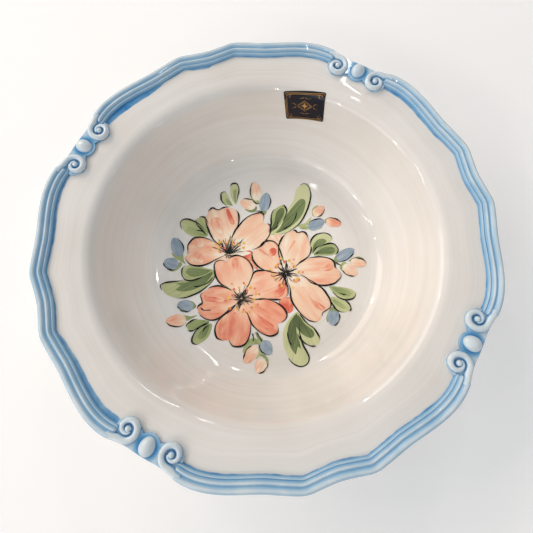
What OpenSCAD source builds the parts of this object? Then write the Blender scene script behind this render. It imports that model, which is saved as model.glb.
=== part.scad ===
// Round serving bowl on a foot ring, with a wide flange, a scalloped edge dressed with a
// triple-reeded moulding, and four cartouches of two scrolls either side of an oval boss.
// Millimetres. The bowl stands on z = 0 with its axis on Z, and a cartouche faces each of
// +X (right), +Y (back), -X (left) and -Y (front).

/* [Rim outline] */
// Radius of the rim at the tips of its eight cusps
rim_r = 150; // [120:1:190]
// How far the edge draws in along a cartouche
cartouche_dip = 3.75; // [1:0.25:6]
// How far the shoulder beside a cartouche stands out past the cusps
shoulder_rise = 0.6; // [0:0.1:2]
// How far the edge draws in at the valley between a shoulder and a cusp
valley_dip = 2.7; // [0.5:0.1:6]
// How far the edge draws in at the notch between two cusps
notch_dip = 3.3; // [0.5:0.1:6]
// Angle from the middle of a cartouche to its shoulder, in degrees
shoulder_a = 13.5; // [13:0.5:17]
// Angle from the middle of a cartouche to the valley
valley_a = 28.5; // [24:0.5:32]
// Angle from the middle of a cartouche to the cusp
cusp_a = 37.2; // [35:0.1:42]

/* [Bowl] */
// Height of the level seat that the rim's moulding is luted to
seat_h = 70; // [50:1:100]
// Thickness of the clay
wall_t = 5.5; // [3.5:0.1:7]
// Width of the flange, from the cusps in to the lip where the wall turns down
flange_w = 36.4; // [30:0.2:45]
// How far the lip lies below the seat
lip_drop = 1.7; // [0.5:0.1:6]
// How far the belly of the wall lies inside the lip
belly_in = 9.1; // [6:0.1:12]
// How far the belly lies below the lip
belly_drop = 28.3; // [22:0.1:32]
// How far the corner of the floor lies inside the lip
floor_in = 25.6; // [20:0.2:32]
// Rounding inside, where the floor turns up into the wall
floor_round = 16; // [8:0.5:20]
// Rounding of the belly
belly_round = 120; // [60:5:160]
// Rounding of the lip
lip_round = 8; // [7.5:0.5:12]
// Rounding where the flange runs out level
seat_round = 25; // [10:1:40]

/* [Foot ring] */
// Height of the foot ring
foot_h = 6; // [3:0.5:12]
// Width of the foot ring
foot_w = 6; // [5:0.5:9]
// How far the outside of the foot ring lies inside the corner of the floor
foot_in = 16; // [12:0.5:30]
// Rounding of the edges that the bowl stands on
foot_round = 2; // [0.5:0.25:2.25]

/* [Reeded moulding] */
// Radius of the outer roll
roll_r = 2.6; // [2:0.1:3]
// Radius of the middle reed
middle_r = 2.0; // [1.6:0.1:2.4]
// Radius of the inner reed
inner_r = 1.35; // [1:0.05:1.7]
// How far the outer roll is sunk into the seat
roll_sunk = 0.7; // [0:0.1:1.2]
// How far the middle reed is sunk
middle_sunk = 0.1; // [0:0.1:1]
// How far the inner reed is sunk
inner_sunk = 0.15; // [0:0.05:0.8]
// How far the middle reed is sunk sideways into the outer roll
middle_bite = 0.5; // [0.2:0.05:0.7]
// How far the inner reed is sunk sideways into the middle reed
inner_bite = 0.25; // [0.1:0.05:0.4]
// How far the roll overhangs the edge of the flange
roll_overhang = 1.2; // [0.4:0.1:2]

/* [Cartouches] */
// Width of a cartouche along the rim
cartouche_w = 46; // [45:0.5:50]
// Width of the straight edge between the scrolls
straight_w = 25.6; // [20:0.2:30]
// Width of the cartouche's plate, from the edge inward
plate_w = 14; // [12:0.5:16]
// Thickness of the plate
plate_t = 1.6; // [1:0.1:2.4]
// Distance between the eyes of the two scrolls
eye_gap = 29; // [26:0.5:30]
// How far an eye lies in from the edge
eye_in = 9.4; // [8.8:0.1:11]
// Radius of the scroll's roll
coil_t = 1.5; // [1:0.1:1.7]
// Radius of the scroll's outer turn, to the middle of its roll
coil_r = 5.2; // [4.8:0.1:5.4]
// How much tighter the scroll's inner half turn is than its outer one
coil_step = 1.95; // [1.6:0.05:2.1]
// Radius of the ball that ends the scroll
eye_r = 1.9; // [1.6:0.05:2.1]
// Length of the boss, from the edge inward
boss_l = 12.4; // [9:0.2:13]
// Width of the boss along the rim
boss_w = 9.8; // [7:0.2:11]
// How far the top of the boss stands above the plate
boss_rise = 3.6; // [2:0.1:4.4]

/* [Label] */
// Length of the paper label around the bowl
label_l = 29.5; // [15:0.5:40]
// Thickness of the label
label_t = 0.3; // [0.2:0.05:0.6]
// How far the label's top edge lies below the lip
label_drop = 0.8; // [0:0.2:10]
// Height of the label
label_h = 20.5; // [10:0.5:26]
// Angle of the middle of the label from +X, in degrees
label_a = 12.8; // [0:0.2:90]

/* [Hidden] */
SIDES = ["right", "back", "left", "front"];
QUARTERS = ["back_right", "back_left", "front_left", "front_right"];

// The outline is cut into steps of about this many degrees, and a rounding into these
step_a = 2.4;
arc_a = 9;
// The most of a straight that the rounding at one end of it may take
round_share = 0.48;
// The bowl is turned past the scalloped edge and then cut to it
trim = 2;
// Clearance between a scroll's lead and the end of the moulding, and how far the lead's
// outside lies in from the edge
lead_clear = 0.1;
lead_in = 1;
// How far a scroll's roll is pressed flat on the plate
coil_bed = 0.2;
// How far the plate reaches past a scroll, and the seat past the plate
plate_margin = 0.2;
seat_margin = 0.5;

lip_r = rim_r - flange_w;
lip_h = seat_h - lip_drop;
belly_r = lip_r - belly_in;
belly_h = lip_h - belly_drop;
floor_r = lip_r - floor_in;
floor_h = foot_h + wall_t;
foot_r = floor_r - foot_in;

// Cartouche: radius of its straight edge, half angles, and where its eyes lie
edge_r = rim_r - cartouche_dip;
straight_a = asin(straight_w / 2 / edge_r);
cartouche_a = asin(cartouche_w / 2 / edge_r);
eye_x = edge_r - eye_in;
eye_y = eye_gap / 2;
pad_r = coil_r + coil_t + plate_margin;
plate_h = seat_h + plate_t;
// The level seat reaches in past the plates
seat_r = min(eye_x - pad_r, edge_r - plate_w) - seat_margin;

// Centres of the three reeds, as [distance in from the edge, height above the seat]
roll_c = [roll_r, roll_r - roll_sunk];
middle_c = [roll_c.x + roll_r + middle_r - middle_bite, middle_r - middle_sunk];
inner_c = [middle_c.x + middle_r + inner_r - inner_bite, inner_r - inner_sunk];

function mix(a, b, t) = a + (b - a) * t;
function part(a, a0, a1) = (a - a0) / (a1 - a0);
function reversed(list) = [for (k = [len(list) - 1:-1:0]) list[k]];
function polar(r, a) = [r * cos(a), r * sin(a)];

// ---- The scalloped outline ----

// An angle folded onto the eighth between a cartouche and the middle of the notch
function folded(a) = let (m = a - 90 * floor(a / 90)) min(m, 90 - m);

// How far the edge lies inside rim_r at angle f from the nearest cartouche: flat along the
// cartouche, quickly out to the shoulder, a slow wave in to the valley, up to the pointed
// cusp, and down into the notch
function dip(f) =
    f < straight_a ? cartouche_dip
    : f < shoulder_a
        ? mix(-shoulder_rise, cartouche_dip, pow(1 - part(f, straight_a, shoulder_a), 2))
    : f < valley_a
        ? mix(-shoulder_rise, valley_dip, (1 - cos(180 * part(f, shoulder_a, valley_a))) / 2)
    : f < cusp_a ? mix(valley_dip, 0, pow(part(f, valley_a, cusp_a), 1.3))
    : mix(notch_dip, 0, pow(1 - part(f, cusp_a, 45), 1.5));

function edge(a) = rim_r - dip(folded(a));

// Angles of the outline's points over a quarter, with one at every place it turns
stations = [0, straight_a, cartouche_a, shoulder_a, valley_a, cusp_a, 45];
function steps(a0, a1) =
    let (n = max(1, round((a1 - a0) / step_a))) [for (k = [0:n - 1]) mix(a0, a1, k / n)];
eighth = [for (k = [0:len(stations) - 2]) each steps(stations[k], stations[k + 1])];
quarter = concat(eighth, [45], [for (k = [len(eighth) - 1:-1:1]) 90 - eighth[k]]);
run_angles = [
    for (a = quarter) if (a > cartouche_a - 0.01 && a < 90 - cartouche_a + 0.01) a
];
cartouche_angles = concat(
    [for (k = [len(eighth) - 1:-1:1]) if (eighth[k] < cartouche_a + 0.01) -eighth[k]],
    [for (a = eighth) if (a < cartouche_a + 0.01) a]
);

module outline(inset) {
    polygon([for (q = [0:3]) for (a = quarter) polar(edge(a) - inset, a + 90 * q)]);
}

// ---- Rounded paths ----

function right_of(u) = [u.y, -u.x];
function turned(v, a) = [v.x * cos(a) - v.y * sin(a), v.x * sin(a) + v.y * cos(a)];
function turn(u, v) = atan2(u.x * v.y - u.y * v.x, u * v);
function heading(pts, k) = (pts[k + 1] - pts[k]) / norm(pts[k + 1] - pts[k]);

// The corner at p, from heading u to heading v, as an arc of radius r
function corner(p, u, v, r) =
    let (
        t = turn(u, v),
        start = p - u * r * tan(abs(t) / 2),
        centre = start - right_of(u) * r * sign(t),
        n = max(2, ceil(abs(t) / arc_a))
    ) [for (k = [0:n]) centre + turned(start - centre, t * k / n)];

// A path with each inner corner rounded; radii[k] belongs to pts[k]
function rounded(pts, radii) = [
    pts[0],
    for (k = [1:len(pts) - 2]) each corner(pts[k], heading(pts, k - 1), heading(pts, k), radii[k]),
    pts[len(pts) - 1]
];

// The inside of the bowl from the axis out, as corners [radius, height] and their roundings
inside = [
    [0, floor_h], [floor_r, floor_h], [belly_r, belly_h], [lip_r, lip_h],
    [seat_r, seat_h], [rim_r + shoulder_rise + trim, seat_h]
];
wanted = [0, floor_round, belly_round, lip_round, seat_round, 0];
last = len(inside) - 1;
// How far the path turns at each corner, and the rounding that the straights beside it allow
inside_turn = [
    for (k = [0:last]) k == 0 || k == last ? 0 : turn(heading(inside, k - 1), heading(inside, k))
];
inside_round = [
    for (k = [0:last]) k == 0 || k == last ? 0
        : let (room = min(norm(inside[k] - inside[k - 1]), norm(inside[k + 1] - inside[k])))
            min(wanted[k], round_share * room / tan(abs(inside_turn[k]) / 2))
];

// That same path moved a distance d into the clay, with its roundings kept parallel
function section(d) =
    let (
        moved = [
            for (k = [0:last])
                let (
                    n = right_of(heading(inside, max(0, k - 1))),
                    m = right_of(heading(inside, min(k, last - 1)))
                ) inside[k] + d * (n + m) / (1 + n * m)
        ]
    ) rounded(moved, [for (k = [0:last]) inside_round[k] + d * sign(inside_turn[k])]);

// ---- The pieces ----

module bowl_body() {
    color("seashell")
        intersection() {
            rotate_extrude() polygon(concat(section(0), reversed(section(wall_t))));
            linear_extrude(seat_h + trim) outline(roll_overhang);
        }
}

module foot_ring() {
    color("bisque")
        rotate_extrude()
            polygon(rounded(
                [[foot_r - foot_w, foot_h], [foot_r - foot_w, 0], [foot_r, 0], [foot_r, foot_h]],
                [0, foot_round, foot_round, 0]
            ));
}

// Angle on the reed at p, of radius r, where it meets the next one in, at q, of radius s
function meets_next(p, r, q, s) =
    let (d = norm(q - p)) turn([1, 0], q - p) + acos((d * d + r * r - s * s) / (2 * d * r));
function meets_last(p, r, q, s) =
    let (d = norm(q - p)) turn([1, 0], q - p) + 180 - acos((d * d + s * s - r * r) / (2 * d * s));
function reed(c, r, a0, a1, n) = [for (k = [0:n]) c + polar(r, mix(a0, a1, k / n))];
function without_first(list) = [for (k = [1:len(list) - 1]) list[k]];

// The moulding's section, as [distance in from the edge, height above the seat]
moulding = concat(
    reed(roll_c, roll_r, 180 + asin(roll_c.y / roll_r),
        meets_next(roll_c, roll_r, middle_c, middle_r), 7),
    without_first(reed(middle_c, middle_r, meets_last(roll_c, roll_r, middle_c, middle_r),
        meets_next(middle_c, middle_r, inner_c, inner_r), 4)),
    without_first(reed(inner_c, inner_r, meets_last(middle_c, middle_r, inner_c, inner_r),
        -asin(inner_c.y / inner_r), 4))
);

// One run of reeded moulding, swept along the edge from cartouche to cartouche
module rim_moulding() {
    m = len(moulding);
    n = len(run_angles);
    points = [
        for (a = run_angles) for (p = moulding)
            let (r = edge(a) - p.x) [r * cos(a), r * sin(a), seat_h + p.y]
    ];
    sides = [
        for (i = [0:n - 2]) for (j = [0:m - 1])
            let (
                near = i * m + j, far = near + m,
                near_next = i * m + (j + 1) % m, far_next = near_next + m
            ) each [[near, near_next, far], [near_next, far_next, far]]
    ];
    caps = [[for (j = [m - 1:-1:0]) j], [for (j = [0:m - 1]) (n - 1) * m + j]];
    color("cornflowerblue") polyhedron(points, concat(sides, caps), convexity = 6);
}

// The plate that a cartouche's scrolls and boss are laid on: a band along the edge with a
// round pad under each scroll, cut off square to the edge where the moulding butts against it
module cartouche_plate() {
    outer = [for (a = cartouche_angles) polar(edge(a), a)];
    inner = [for (a = reversed(cartouche_angles)) polar(edge_r - plate_w, a)];
    color("royalblue")
        translate([0, 0, seat_h])
            intersection() {
                union() {
                    linear_extrude(plate_t) polygon(concat(outer, inner));
                    for (y = [-eye_y, eye_y])
                        translate([eye_x, y, 0]) cylinder(h = plate_t, r = pad_r, $fn = 48);
                }
                linear_extrude(plate_t)
                    polygon([[0, 0], polar(2 * rim_r, -cartouche_a), polar(2 * rim_r, cartouche_a)]);
            }
}

// Everything above the top of the plate, around one cartouche
module above_plate() {
    translate([eye_x - cartouche_w / 2, -cartouche_w, plate_h])
        cube([cartouche_w, 2 * cartouche_w, cartouche_w]);
}

// The domed boss: an egg turned about a line that points out from the bowl
module cartouche_boss() {
    half_l = boss_l / 2;
    half_w = boss_w / 2;
    color("lightsteelblue")
        intersection() {
            translate([edge_r - half_l, 0, plate_h + boss_rise - half_w])
                rotate([0, 90, 0])
                    rotate_extrude()
                        polygon([for (a = [-90:arc_a:90]) [half_w * cos(a), half_l * sin(a)]]);
            above_plate();
        }
}

// A stretch of the scroll's roll: an arc of radius r about [x, y] from angle a0 to a1
module coil(x, y, r, a0, a1) {
    translate([x, y, 0]) rotate([0, 0, a0])
        rotate_extrude(angle = a1 - a0) translate([r, 0]) circle(r = coil_t, $fn = 32);
}

// The scroll on the +Y half of the cartouche at +X. Its roll leads in along the edge, bends
// in beside the boss, winds in by two half turns and ends in a ball.
module scroll() {
    lift = coil_t - coil_bed;
    lead_r = eye_in - lead_in - coil_t;
    lead_y = eye_y - coil_r + lead_r;
    lead_x = eye_x + lead_r;
    lead_end = (lead_x - coil_t) * tan(cartouche_a) - lead_clear;
    inner_turn = coil_r - coil_step;
    ball_y = eye_y + coil_step - inner_turn + eye_r / 2;
    color("powderblue")
        intersection() {
            translate([0, 0, plate_h + lift]) {
                translate([lead_x, lead_y, 0])
                    rotate([-90, 0, 0]) cylinder(h = lead_end - lead_y, r = coil_t, $fn = 32);
                coil(eye_x, lead_y, lead_r, -90, 0);
                coil(eye_x, eye_y, coil_r, 90, 270);
                coil(eye_x, eye_y + coil_step, inner_turn, -90, 90);
                translate([eye_x, ball_y, 0]) sphere(r = eye_r, $fn = 48);
            }
            above_plate();
        }
}

// A paper label on the wall below the lip, which follows the wall's own curve
module paper_label() {
    half_a = asin(label_l / 2 / lip_r);
    color("midnightblue")
        intersection() {
            rotate([0, 0, label_a - half_a])
                rotate_extrude(angle = 2 * half_a)
                    polygon(concat(section(0), reversed(section(-label_t))));
            translate([0, 0, lip_h - label_drop - label_h]) cylinder(h = label_h, r = lip_r + lip_round);
        }
}

bowl_body();
foot_ring();
for (q = [0:3]) {
    rotate(90 * q) rim_moulding();
    rotate(90 * q) cartouche_plate();
    rotate(90 * q) cartouche_boss();
    rotate(90 * q) scroll();
    rotate(90 * q) mirror([0, 1, 0]) scroll();
}
paper_label();
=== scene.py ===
"""A round serving bowl of glazed earthenware, with a bouquet painted on its floor and a rim
dressed with a triple-reeded moulding and four scrolled cartouches. Sizes are millimetres."""

import random
from math import atan2, ceil, cos, degrees, hypot, pi, radians, sin, sqrt, tan

import bpy
from mathutils import Matrix, Vector
from mathutils.bvhtree import BVHTree


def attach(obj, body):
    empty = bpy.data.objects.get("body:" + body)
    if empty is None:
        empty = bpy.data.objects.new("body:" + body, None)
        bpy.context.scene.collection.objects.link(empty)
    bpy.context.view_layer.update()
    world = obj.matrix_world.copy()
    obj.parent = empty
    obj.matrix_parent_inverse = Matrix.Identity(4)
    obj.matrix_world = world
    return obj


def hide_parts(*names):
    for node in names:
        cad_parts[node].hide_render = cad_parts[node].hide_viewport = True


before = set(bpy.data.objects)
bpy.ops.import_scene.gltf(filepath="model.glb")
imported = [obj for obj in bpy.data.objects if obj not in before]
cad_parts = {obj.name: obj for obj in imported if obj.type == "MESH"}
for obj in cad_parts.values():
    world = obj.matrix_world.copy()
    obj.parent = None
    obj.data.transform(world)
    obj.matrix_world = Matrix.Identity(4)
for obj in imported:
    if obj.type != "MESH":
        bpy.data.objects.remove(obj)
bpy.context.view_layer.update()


# ---- Bowl body ----
# One thrown shell of earthenware: floor, wall, lip and a wide flange, dipped in a cream tin
# glaze. Its edge is pressed to a scalloped outline while the clay is soft, and the fingers'
# throwing rings stay in the inside.

MM = 0.001
rim_r, seat_h, wall_t = 150.0, 70.0, 5.5
roll_overhang, edge_round = 1.2, 1.6
# Inside from the axis out: radius, height and rounding of each corner
inside_corners = [
    (0, 11.5, 0), (88, 11.5, 16), (104.5, 40, 120), (113.6, 68.3, 8),
    (129.45, seat_h, 25), (rim_r - roll_overhang - edge_round, seat_h, 0),
]
# The outline: how far the edge draws in at each place, and the place's angle from the
# middle of the nearest cartouche
cartouche_dip, shoulder_rise, valley_dip, notch_dip = 3.75, 0.6, 2.7, 3.3
straight_a, shoulder_a, valley_a, cusp_a = 5.02, 13.5, 28.5, 37.2


def mix(a, b, t):
    return a + (b - a) * t


def part(x, low, high):
    """How far x has gone from low to high, from 0 to 1."""
    return min(max((x - low) / (high - low), 0.0), 1.0)


def eased(t):
    return t * t * (3 - 2 * t)


def table_at(table, x):
    """The value at x on a line drawn through the table's pairs."""
    for (x0, y0), (x1, y1) in zip(table, table[1:]):
        if x <= x1:
            return mix(y0, y1, part(x, x0, x1))
    return table[-1][1]


def dip(angle):
    """How far the edge lies inside the cusps' circle at this angle."""
    f = abs((angle + 45) % 90 - 45)
    if f < straight_a:
        return cartouche_dip
    if f < shoulder_a:
        return mix(-shoulder_rise, cartouche_dip, (1 - part(f, straight_a, shoulder_a)) ** 2)
    if f < valley_a:
        return mix(-shoulder_rise, valley_dip, (1 - cos(pi * part(f, shoulder_a, valley_a))) / 2)
    if f < cusp_a:
        return mix(valley_dip, 0, part(f, valley_a, cusp_a) ** 1.3)
    return mix(notch_dip, 0, (1 - part(f, cusp_a, 45)) ** 1.5)


def drawn_in(angle, from_edge):
    """The dip as the clay takes it: rounded over at the edge, crisp further in."""
    window = mix(1.5, 0.4, part(from_edge, 0, 9))
    return sum(dip(angle + window * k / 3) for k in range(-3, 4)) / 7


def press_to_outline(piece, flat_to=0.0, full_from=0.0):
    """Moves a round piece's points in to the scalloped outline, none of the way inside the
    radius flat_to and all of the way outside full_from."""
    for vertex in piece.data.vertices:
        x, y, _ = vertex.co
        r = hypot(x, y) / MM
        if r > flat_to:
            share = eased(part(r, flat_to, full_from)) if full_from > flat_to else 1.0
            shift = share * drawn_in(degrees(atan2(y, x)), rim_r - r)
            vertex.co.x *= 1 - shift / r
            vertex.co.y *= 1 - shift / r


def rounded(corners):
    """A path through corners of (x, y, rounding), with each inner corner made an arc."""
    path = [Vector(corners[0][:2])]
    for before, (x, y, r), after in zip(corners, corners[1:], corners[2:]):
        here = Vector((x, y))
        u = (here - Vector(before[:2])).normalized()
        v = (Vector(after[:2]) - here).normalized()
        turn = atan2(u.cross(v), u.dot(v))
        side = 1 if turn > 0 else -1
        start = here - u * r * tan(abs(turn) / 2)
        centre = start + Vector((-u.y, u.x)) * r * side
        count = max(2, ceil(degrees(abs(turn)) / 4))
        for k in range(count + 1):
            arm = start - centre
            arm.rotate(Matrix.Rotation(turn * k / count, 2))
            path.append(centre + arm)
    return path + [Vector(corners[-1][:2])]


def evened(path, step):
    """The same path with its points about a step apart."""
    gone = [0.0]
    for a, b in zip(path, path[1:]):
        gone.append(gone[-1] + (b - a).length)
    count = round(gone[-1] / step)
    points, k = [], 0
    for i in range(count + 1):
        at = gone[-1] * i / count
        while k < len(path) - 2 and gone[k + 1] < at:
            k += 1
        points.append(path[k].lerp(path[k + 1], part(at, gone[k], gone[k + 1])))
    return points


def normals_of(path):
    """The unit direction out of the clay at each point of an inside path."""
    ends = [path[0], *path, path[-1]]
    along = [(b - a).normalized() for a, b in zip(ends, ends[2:])]
    return [Vector((-u.y, u.x)) for u in along]


def throwing_ring(gone):
    """Height of the potter's rings, in mm, at this distance along the inside."""
    return 0.03 * sin(gone / 1.15) * (0.6 + 0.4 * sin(gone / 7.3)) + 0.035 * sin(gone / 2.6)


def pick(*pieces):
    """Selects these pieces alone, the first of them active."""
    bpy.ops.object.select_all(action="DESELECT")
    for piece in pieces:
        piece.select_set(True)
    if pieces:
        bpy.context.view_layer.objects.active = pieces[0]


def edit(piece):
    """Goes into edit mode on this piece alone, with all of it selected."""
    pick(piece)
    bpy.ops.object.mode_set(mode="EDIT")
    bpy.ops.mesh.select_all(action="SELECT")


def close_up(piece, smooth_to=40):
    """Merges a shape's seams, closes its ends, turns its faces out and shades it."""
    edit(piece)
    bpy.ops.mesh.remove_doubles(threshold=0.0005 * MM)
    bpy.ops.mesh.delete_loose()
    bpy.ops.mesh.select_all(action="SELECT")
    bpy.ops.mesh.fill_holes(sides=0)
    bpy.ops.mesh.select_all(action="SELECT")
    bpy.ops.mesh.normals_make_consistent(inside=False)
    bpy.ops.object.mode_set(mode="OBJECT")
    bpy.ops.object.shade_smooth_by_angle(angle=radians(smooth_to))
    return piece


def spun(name, points, steps, start=0.0, sweep=360.0):
    """A closed ring of (radius, height) points, spun about Z from one angle over a sweep."""
    pick()
    bpy.ops.mesh.primitive_circle_add(vertices=len(points), fill_type="NOTHING")
    piece = bpy.context.object
    piece.name = piece.data.name = name
    for vertex, (r, h) in zip(piece.data.vertices, points):
        vertex.co = (r * MM * cos(radians(start)), r * MM * sin(radians(start)), h * MM)
    edit(piece)
    bpy.ops.mesh.spin(steps=steps, angle=radians(sweep), center=(0, 0, 0), axis=(0, 0, -1))
    bpy.ops.object.mode_set(mode="OBJECT")
    return close_up(piece)


def note(piece, name, values):
    """Writes a number for each point of a piece, for its material to read."""
    kept = piece.data.attributes.get(name)
    kept = kept or piece.data.attributes.new(name, "FLOAT", "POINT")
    kept.data.foreach_set("value", values)


path = rounded(inside_corners)
inside_step, under_step = 2.1, 6.0
inside = evened(path, inside_step)
# The rings fade out under the moulding, and are nearly wiped away on the floor
inside = [
    p + n * throwing_ring(k * inside_step)
    * part(rim_r - p.x, 12, 18) * mix(0.2, 1, part(p.x, 66, 82))
    for k, (p, n) in enumerate(zip(inside, normals_of(inside)))
]
inside[0].x = 0.0
under = evened(path, under_step)
under = [p - n * wall_t for p, n in zip(under, normals_of(under))]
edge_x = rim_r - roll_overhang
edge_profile = rounded([
    (edge_x - 2 * edge_round, seat_h, 0), (edge_x, seat_h, edge_round),
    (edge_x, seat_h - wall_t, edge_round), (edge_x - 2 * edge_round, seat_h - wall_t, 0),
])[1:-1]
bowl = spun("glazed_bowl", [*inside[:-1], *edge_profile, *reversed(under[:-1])], 600)

# Where the rim's blue brush ran past the moulding on to the flange: (angle, width)
brush_widths = [
    (0, 0), (9, 0.2), (22, 0.4), (36.5, 0.2), (44.4, 0.2), (45.4, 2.0), (50, 1.9), (52, 0.2),
    (59, 0.2), (61.4, 1.4), (65.2, 3.0), (69, 4.2), (73, 4.8), (78, 4.2), (81, 2.4), (84, 0.3),
    (90, 0), (99, 0.7), (106, 1.4), (118, 1.0), (126, 0.3), (135, 0.2), (143, 0.5), (146, 1.8),
    (155, 2.2), (165, 2.9), (170, 3.3), (172.5, 1.0), (180, 0), (190, 0.7), (200, 0.4), (215, 0.2),
    (250, 0.4), (262, 0.3), (270, 0), (279, 0.4), (292, 0.3), (318, 0.1), (326, 0.6),
    (334, 1.5), (345, 1.6), (350, 1.9), (352, 0.5), (360, 0),
]
moulding_foot, under_edge = 9.6, 2.5
from_edge, brushed = [], []
for vertex in bowl.data.vertices:
    x, y, z = vertex.co / MM
    from_edge.append(rim_r - hypot(x, y))
    width = table_at(brush_widths, degrees(atan2(y, x)) % 360)
    brushed.append(moulding_foot + width if z > seat_h - under_edge else under_edge)
note(bowl, "from_edge", from_edge)
note(bowl, "brushed_to", brushed)
press_to_outline(bowl, flat_to=116, full_from=136)


def linear(colour):
    """An sRGB hex colour as the linear numbers that a shader takes."""
    parts = [int(colour[k:k + 2], 16) / 255 for k in (1, 3, 5)]
    return (*(p / 12.92 if p <= 0.04045 else ((p + 0.055) / 1.055) ** 2.4 for p in parts), 1.0)


def add(finish, kind, sockets=None, stops=None, out=0, **settings):
    """Adds a node to a material and gives back one of its outputs. A socket is given a value,
    or another node's output."""
    made = finish.node_tree.nodes.new("ShaderNode" + kind)
    for name, value in settings.items():
        setattr(made, name, value)
    for name, value in (sockets or {}).items():
        if isinstance(value, bpy.types.NodeSocket):
            finish.node_tree.links.new(value, made.inputs[name])
        else:
            made.inputs[name].default_value = value
    if stops:
        ramp = made.color_ramp.elements
        while len(ramp) < len(stops):
            ramp.new(0.5)
        for stop, (place, colour) in zip(ramp, stops):
            stop.position, stop.color = place, linear(colour)
    return made.outputs[out] if made.outputs else None


def ranged(finish, value, start, end, low, high, **settings):
    """Turns a value's way from start to end into a number from low to high."""
    return add(finish, "MapRange", {"Value": value, "From Min": start, "From Max": end,
                                    "To Min": low, "To Max": high}, **settings)


def new_finish(name):
    """A material with nothing in it yet."""
    finish = bpy.data.materials.new(name)
    finish.use_nodes = True
    finish.node_tree.nodes.clear()
    return finish


def finish_with(finish, colour, bump=None, **shader):
    """Ends a material in one glossy surface of this colour."""
    sockets = {name.replace("_", " "): value for name, value in shader.items()}
    sockets["Base Color"] = colour
    if bump:
        sockets["Normal"] = bump
    surface = add(finish, "BsdfPrincipled", sockets)
    add(finish, "OutputMaterial", {"Surface": surface})
    return finish


def finished(piece, finish, slot, *nodes):
    """Gives a piece its material and body, and hides the CAD nodes that it stands for. The slot is
    not used.
    """
    piece.data.materials.clear()
    piece.data.materials.append(finish)
    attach(piece, "root")
    if nodes:
        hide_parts(*nodes)


# Tin glaze, fired to a full gloss: an even warm white that thins to a cooler tone in wide
# clouds, with the slight orange peel of melted glass. The brushed blue lies in the same coat.
glaze = new_finish("cream_tin_glaze_fired")
where = add(glaze, "TexCoord", out="Object")
inward = add(glaze, "Attribute", attribute_name="from_edge", out="Fac")
# Wheel marks: the glaze lies a little thicker in every throwing ring, in long broken arcs
level = add(glaze, "VectorMath", {0: where, 1: (1.0, 1.0, 0.0)}, operation="MULTIPLY")
facing = add(glaze, "VectorMath", {0: level}, operation="NORMALIZE")
out_along = add(glaze, "CombineXYZ", {"Z": inward})
wheel = add(glaze, "VectorMath", {0: facing, 1: out_along}, operation="ADD")
marks = add(glaze, "TexNoise", {"Vector": wheel, "Scale": 0.75, "Detail": 4.0})
cloud = add(glaze, "TexNoise", {"Vector": where, "Scale": 1 / (70 * MM), "Detail": 3.0})
lying = add(glaze, "Math", {0: marks, 1: 0.6, 2: cloud}, operation="MULTIPLY_ADD")
lying = add(glaze, "Math", {0: lying, 1: 0.3}, operation="SUBTRACT")
cream = add(glaze, "ValToRGB", {"Fac": lying}, stops=[(0.25, "#E8E3DC"), (0.75, "#F4F1ED")])
wobble = add(glaze, "TexNoise", {"Vector": where, "Scale": 1 / (9 * MM), "Detail": 3.0})
shake = add(glaze, "Math", {0: wobble, 1: -0.5}, operation="ADD")
# The brushed blue ends in a shaky edge, and is laid on thick where its strip is wide
reach = add(glaze, "Attribute", attribute_name="brushed_to", out="Fac")
past = add(glaze, "Math", {0: inward, 1: reach}, operation="SUBTRACT")
shaken = add(glaze, "Math", {0: shake, 1: 1.6, 2: past}, operation="MULTIPLY_ADD")
painted = ranged(glaze, shaken, -0.25, 0.45, 1.0, 0.0)
laden = ranged(glaze, reach, 12.4, 14.2, 0.1, -0.25)
run_off = ranged(glaze, inward, 1.5, 4.5, 0.3, 0.0)
loaded = wobble
for cause in (laden, run_off):
    loaded = add(glaze, "Math", {0: loaded, 1: cause}, operation="ADD")
blue_wash = add(glaze, "ValToRGB", {"Fac": loaded},
                stops=[(0.2, "#2F82C6"), (0.42, "#5F9FCF"), (0.75, "#9DC3DE")])
colour = add(glaze, "Mix", {0: painted, 6: cream, 7: blue_wash}, data_type="RGBA", out=2)
peel = add(glaze, "TexNoise", {"Vector": where, "Scale": 1 / (6 * MM), "Detail": 2.0})
ripple = add(glaze, "Bump", {"Height": peel, "Strength": 0.5, "Distance": 0.03 * MM})
finish_with(glaze, colour, ripple, Roughness=0.06, IOR=1.5)
finished(bowl, glaze, "cream_glaze", "bowl_body")


# ---- Foot ring ----
# A plain ring turned on the underside, and wiped clean of glaze before firing so that it
# doesn't stick to the kiln shelf: the bare clay shows, warm and matt.

def mottled(name, patch, detail, stops, relief=None, **shader):
    """A material of two tones in patches of this size, in mm. A relief is how strongly and
    how deep, in mm, the patches also stand in the surface."""
    made = new_finish(name)
    where = add(made, "TexCoord", out="Object")
    patches = add(made, "TexNoise", {"Vector": where, "Scale": 1 / (patch * MM), "Detail": detail})
    colour = add(made, "ValToRGB", {"Fac": patches}, stops=stops)
    if relief:
        relief = add(made, "Bump", {"Height": patches, "Strength": relief[0],
                                    "Distance": relief[1] * MM})
    return finish_with(made, colour, relief, **shader)


bare = mottled("bare_earthenware_wiped", 0.8, 4.0, [(0.3, "#C9A98C"), (0.7, "#DEC3A8")],
               relief=(0.6, 0.08), Roughness=0.85, IOR=1.45)

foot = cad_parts["foot_ring"]
foot.data.materials.clear()
foot.data.materials.append(bare)


# ---- Reeded moulding ----
# A run of three reeds, pulled as one strip through a template and stuck on with slip along
# the edge of the flange, from each cartouche to the next. Glaze has softened its grooves.

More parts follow.
